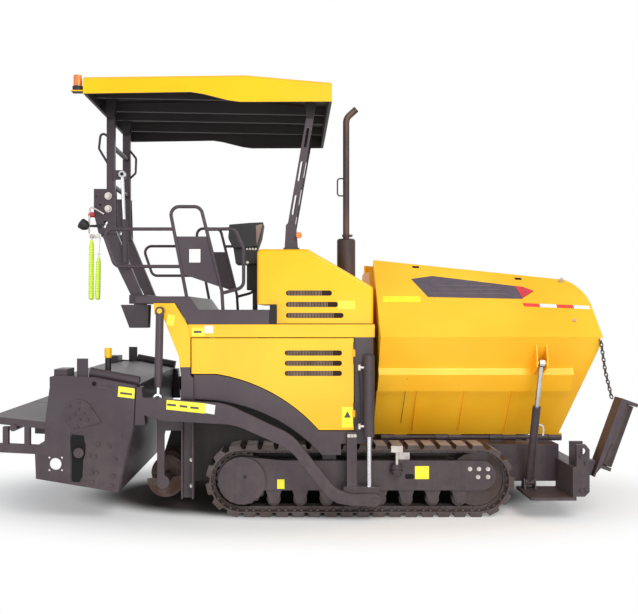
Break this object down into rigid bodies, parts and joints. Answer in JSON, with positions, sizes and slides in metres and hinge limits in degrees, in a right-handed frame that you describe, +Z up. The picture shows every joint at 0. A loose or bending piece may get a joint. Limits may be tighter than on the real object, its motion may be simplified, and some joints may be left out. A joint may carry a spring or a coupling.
{
  "type": "tracked asphalt paver",
  "caption": "Tracked asphalt paver with folding hopper wings, folding canopy, side engine doors, augers and an extending screed on tow arms.",
  "frame": {"origin": "on the ground, midway along the machine's length and width", "axes": "+X towards the hopper and push rollers (front), +Y to the machine's left, +Z up"},
  "size_m": [5.4662, 2.5, 3.8101],
  "materials": {
    "paint_yellow": "gloss",
    "paint_dark": "satin",
    "steel_track": "worn",
    "steel_bright": "brushed",
    "chrome_rod": "polished",
    "black_plastic": "matt",
    "amber_lens": "gloss",
    "baton_yellow": "gloss",
    "exhaust_steel": "heat dulled"
  },
  "bodies": {
    "body": {"auger_case": "paint_dark", "bulkheads": "paint_dark", "chassis_frame": "paint_dark", "console": "black_plastic", "conveyor": "steel_track", "deck_skirts": "paint_dark", "engine": "steel_track", "fenders": "paint_dark", "front_frame": "paint_dark", "hood": "paint_yellow", "hopper_sills": "paint_dark", "hopper_wall": "paint_yellow", "level_barrels": "paint_dark", "marker_batons": "baton_yellow", "mast_base": "paint_dark", "muffler": "exhaust_steel", "operator_deck": "paint_dark", "railings": "paint_dark", "rear_pillars": "paint_dark", "running_gear_left": "steel_track", "running_gear_right": "steel_track", "side_frames": "paint_yellow", "strut_brackets": "paint_dark", "track_frame_left": "paint_dark", "track_frame_right": "paint_dark", "track_left": "steel_track", "track_right": "steel_track", "work_lamps": "black_plastic"},
    "bracket_right": {"roller_bracket_right": "paint_dark"},
    "roller_right": {"push_roller_right": "steel_bright"},
    "wing_right": {"hopper_wing_right": "paint_yellow"},
    "wing_cylinder_right": {"wing_barrel_right": "paint_dark"},
    "wing_piston_right": {"wing_rod_right": "chrome_rod"},
    "engine_door_right": {"door_right": "paint_yellow"},
    "screed_extension_right": {"extension_right": "paint_dark"},
    "auger_screw_right": {"auger_right": "steel_track"},
    "bracket_left": {"roller_bracket_left": "paint_dark"},
    "roller_left": {"push_roller_left": "steel_bright"},
    "wing_left": {"hopper_wing_left": "paint_yellow"},
    "wing_cylinder_left": {"wing_barrel_left": "paint_dark"},
    "wing_piston_left": {"wing_rod_left": "chrome_rod"},
    "engine_door_left": {"door_left": "paint_yellow"},
    "screed_extension_left": {"extension_left": "paint_dark"},
    "auger_screw_left": {"auger_left": "steel_track"},
    "canopy_masts": {"masts": "paint_dark"},
    "roof": {"canopy_roof": "paint_yellow", "beacon": "amber_lens"},
    "struts": {"canopy_struts": "paint_dark"},
    "canopy_cylinders": {"canopy_barrels": "paint_dark"},
    "canopy_pistons": {"canopy_rods": "chrome_rod"},
    "exhaust": {"exhaust_pipe": "exhaust_steel"},
    "tow_points": {"tow_slides": "paint_dark"},
    "screed": {"tow_arms": "paint_dark", "screed_body": "paint_dark"},
    "lift_cylinders": {"lift_barrels": "paint_dark"},
    "lift_pistons": {"lift_rods": "chrome_rod"}
  },
  "joints": [
    {"name": "wing_open_right", "type": "hinge", "parent": "body", "child": "wing_right", "pos_m": [1.4, -0.51, 0.619], "axis": [1, 0, 0], "range_deg": [0, 42]},
    {"name": "wing_cylinder_swing_right", "type": "hinge", "parent": "body", "child": "wing_cylinder_right", "pos_m": [1.912, -0.79, 0.262], "axis": [1, 0, 0], "range_deg": [0, 38]},
    {"name": "wing_piston_slide_right", "type": "slide", "parent": "wing_cylinder_right", "child": "wing_piston_right", "axis": [0, -0.3473, 0.9377], "range_m": [-0.32, 0]},
    {"name": "roller_bracket_fold_right", "type": "hinge", "parent": "body", "child": "bracket_right", "pos_m": [2.372, -1.11, 0.44], "axis": [-0.9397, 0, 0.342], "range_deg": [0, 90]},
    {"name": "push_roller_spin_right", "type": "hinge", "parent": "bracket_right", "child": "roller_right", "pos_m": [2.47052, -1.11, 0.46799], "axis": [0.342, 0, 0.9397], "continuous": true},
    {"name": "engine_door_swing_right", "type": "hinge", "parent": "body", "child": "engine_door_right", "pos_m": [0.339, -1.069, 1], "axis": [0, 0, 1], "range_deg": [0, 85]},
    {"name": "wing_open_left", "type": "hinge", "parent": "body", "child": "wing_left", "pos_m": [1.4, 0.51, 0.619], "axis": [-1, 0, 0], "range_deg": [0, 42]},
    {"name": "wing_cylinder_swing_left", "type": "hinge", "parent": "body", "child": "wing_cylinder_left", "pos_m": [1.912, 0.79, 0.262], "axis": [-1, 0, 0], "range_deg": [0, 38]},
    {"name": "wing_piston_slide_left", "type": "slide", "parent": "wing_cylinder_left", "child": "wing_piston_left", "axis": [0, 0.3473, 0.9377], "range_m": [-0.32, 0]},
    {"name": "roller_bracket_fold_left", "type": "hinge", "parent": "body", "child": "bracket_left", "pos_m": [2.372, 1.11, 0.44], "axis": [0.9397, 0, -0.342], "range_deg": [0, 90]},
    {"name": "push_roller_spin_left", "type": "hinge", "parent": "bracket_left", "child": "roller_left", "pos_m": [2.47052, 1.11, 0.46799], "axis": [0.342, 0, 0.9397], "continuous": true},
    {"name": "engine_door_swing_left", "type": "hinge", "parent": "body", "child": "engine_door_left", "pos_m": [0.339, 1.069, 1], "axis": [0, 0, -1], "range_deg": [0, 85]},
    {"name": "canopy_fold", "type": "hinge", "parent": "body", "child": "canopy_masts", "pos_m": [-1.888, 0, 2.744], "axis": [0, 1, 0], "range_deg": [0, 80]},
    {"name": "roof_level", "type": "hinge", "parent": "canopy_masts", "child": "roof", "pos_m": [-1.888, 0, 3.59], "axis": [0, 1, 0], "range_deg": [-76, 0]},
    {"name": "strut_swing", "type": "hinge", "parent": "body", "child": "struts", "pos_m": [-0.206, 0, 2.514], "axis": [0, 1, 0], "range_deg": [0, 73]},
    {"name": "canopy_cylinder_swing", "type": "hinge", "parent": "body", "child": "canopy_cylinders", "pos_m": [-1.735, 0, 2.2], "axis": [0, 1, 0], "range_deg": [0, 22]},
    {"name": "canopy_piston_slide", "type": "slide", "parent": "canopy_cylinders", "child": "canopy_pistons", "axis": [-0.0424, 0, 0.9991], "range_m": [-0.345, 0]},
    {"name": "exhaust_fold", "type": "hinge", "parent": "body", "child": "exhaust", "pos_m": [0.356, -0.45, 2.48], "axis": [0, 1, 0], "range_deg": [0, 80.5]},
    {"name": "tow_point_slide", "type": "slide", "parent": "body", "child": "tow_points", "axis": [0, 0, 1], "range_m": [0, 0.12]},
    {"name": "screed_lift", "type": "hinge", "parent": "tow_points", "child": "screed", "pos_m": [0.5, 0, 0.19], "axis": [0, -1, 0], "range_deg": [0, 6.5]},
    {"name": "extension_slide_right", "type": "slide", "parent": "screed", "child": "screed_extension_right", "axis": [0, -1, 0], "range_m": [0, 0.75]},
    {"name": "extension_slide_left", "type": "slide", "parent": "screed", "child": "screed_extension_left", "axis": [0, 1, 0], "range_m": [0, 0.75]},
    {"name": "lift_cylinder_swing", "type": "hinge", "parent": "body", "child": "lift_cylinders", "pos_m": [-1.323, 0, 1.781], "axis": [0, 1, 0], "range_deg": [0, 5]},
    {"name": "lift_piston_slide", "type": "slide", "parent": "lift_cylinders", "child": "lift_pistons", "axis": [-0.0229, 0, -0.9997], "range_m": [0, 0.22]},
    {"name": "auger_spin_right", "type": "hinge", "parent": "body", "child": "auger_screw_right", "pos_m": [-1.314, -0.5, 0.298], "axis": [0, 1, 0], "continuous": true},
    {"name": "auger_spin_left", "type": "hinge", "parent": "body", "child": "auger_screw_left", "pos_m": [-1.314, 0.5, 0.298], "axis": [0, 1, 0], "continuous": true}
  ],
  "couplings": [
    {"joint": "wing_cylinder_swing_right", "follows": "wing_open_right", "ratio": 0.9024},
    {"joint": "wing_piston_slide_right", "follows": "wing_open_right", "m_per_rad": -0.4332},
    {"joint": "wing_cylinder_swing_left", "follows": "wing_open_left", "ratio": 0.9024},
    {"joint": "wing_piston_slide_left", "follows": "wing_open_left", "m_per_rad": -0.4332},
    {"joint": "roof_level", "follows": "canopy_fold", "ratio": -0.9427},
    {"joint": "strut_swing", "follows": "canopy_fold", "ratio": 0.9022},
    {"joint": "canopy_cylinder_swing", "follows": "canopy_fold", "ratio": 0.2691},
    {"joint": "canopy_piston_slide", "follows": "canopy_fold", "m_per_rad": -0.2429},
    {"joint": "exhaust_fold", "follows": "canopy_fold", "ratio": 1},
    {"joint": "lift_cylinder_swing", "follows": "screed_lift", "ratio": 0.7287},
    {"joint": "lift_piston_slide", "follows": "screed_lift", "m_per_rad": 1.9296}
  ]
}
